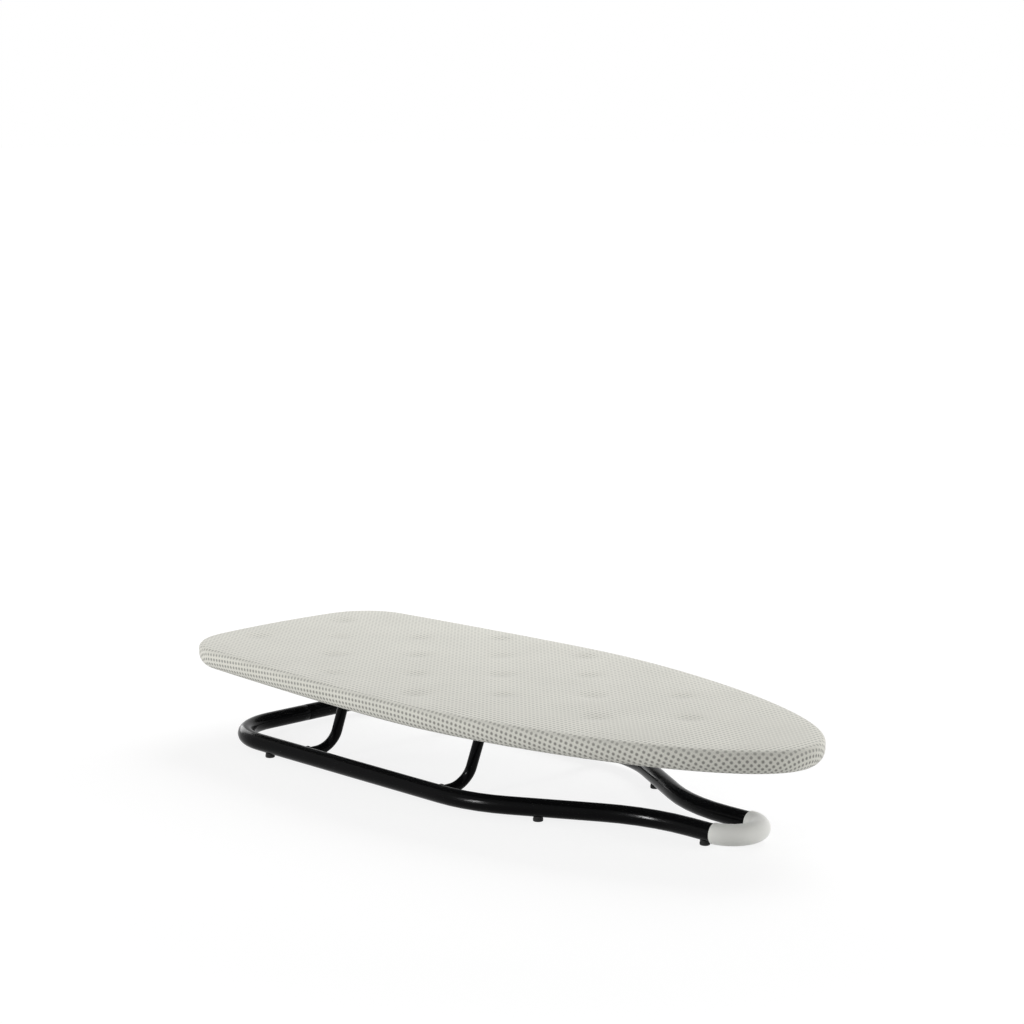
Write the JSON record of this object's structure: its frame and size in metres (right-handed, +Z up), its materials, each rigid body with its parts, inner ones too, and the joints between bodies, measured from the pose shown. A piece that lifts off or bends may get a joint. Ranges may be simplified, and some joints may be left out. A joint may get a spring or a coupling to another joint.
{
  "type": "tabletop ironing board",
  "caption": "Padded, cloth-covered ironing board with a rounded nose, on two tube hoops that fold down over a low bent-tube base with a sleeved hanging loop.",
  "frame": {"origin": "on the table, under the middle of the board's length and width", "axes": "+X along the board towards its nose, +Y across it, +Z up from the table"},
  "size_m": [0.73, 0.3, 0.1024],
  "materials": {
    "black_tube": "satin black powder coat on steel tube",
    "white_sleeve": "soft-gloss white plastic",
    "black_rubber": "matt moulded rubber",
    "black_plastic": "fine matt moulded plastic",
    "grey_steel": "silver-grey powder coat on pressed steel",
    "zinc_screw": "bright zinc plating",
    "foam": "open-cell foam underlay",
    "cotton": "plain-weave cotton with a small dot print",
    "elastic": "knitted elastic tape"
  },
  "bodies": {
    "base": {"base_tube": "black_tube", "joint_plug": "black_plastic", "loop_sleeve": "white_sleeve", "foot_rear_near": "black_rubber", "foot_middle_near": "black_rubber", "foot_nose_near": "black_rubber", "foot_rear_far": "black_rubber", "foot_middle_far": "black_rubber", "foot_nose_far": "black_rubber", "pivot_bush_rear_near": "black_plastic", "pivot_bush_rear_far": "black_plastic", "pivot_bush_front_near": "black_plastic", "pivot_bush_front_far": "black_plastic"},
    "rear_hoop": {"rear_hoop": "black_tube"},
    "front_hoop": {"front_hoop": "black_tube"},
    "board": {"steel_panel": "grey_steel", "rolled_rim": "grey_steel", "foam_pad": "foam", "cloth_cover": "cotton", "hem_elastic": "elastic", "cross_channel_rear": "grey_steel", "cross_channel_front": "grey_steel", "pivot_block_rear_near": "black_plastic", "pivot_block_rear_far": "black_plastic", "pivot_block_front_near": "black_plastic", "pivot_block_front_far": "black_plastic", "screw_rear_near_back": "zinc_screw", "screw_rear_near_fore": "zinc_screw", "screw_rear_far_back": "zinc_screw", "screw_rear_far_fore": "zinc_screw", "screw_front_near_back": "zinc_screw", "screw_front_near_fore": "zinc_screw", "screw_front_far_back": "zinc_screw", "screw_front_far_fore": "zinc_screw"}
  },
  "joints": [
    {"name": "rear_hoop_fold", "type": "hinge", "parent": "base", "child": "rear_hoop", "pos_m": [-0.183, 0, 0.0125], "axis": [0, -1, 0], "range_deg": [0, 103]},
    {"name": "front_hoop_fold", "type": "hinge", "parent": "base", "child": "front_hoop", "pos_m": [0.011, 0, 0.0125], "axis": [0, -1, 0], "range_deg": [0, 103]},
    {"name": "board_level", "type": "hinge", "parent": "rear_hoop", "child": "board", "pos_m": [-0.15855, 0, 0.0779], "axis": [0, -1, 0], "range_deg": [-103, 0]}
  ],
  "couplings": [
    {"joint": "front_hoop_fold", "follows": "rear_hoop_fold", "ratio": 1},
    {"joint": "board_level", "follows": "rear_hoop_fold", "ratio": -1}
  ]
}
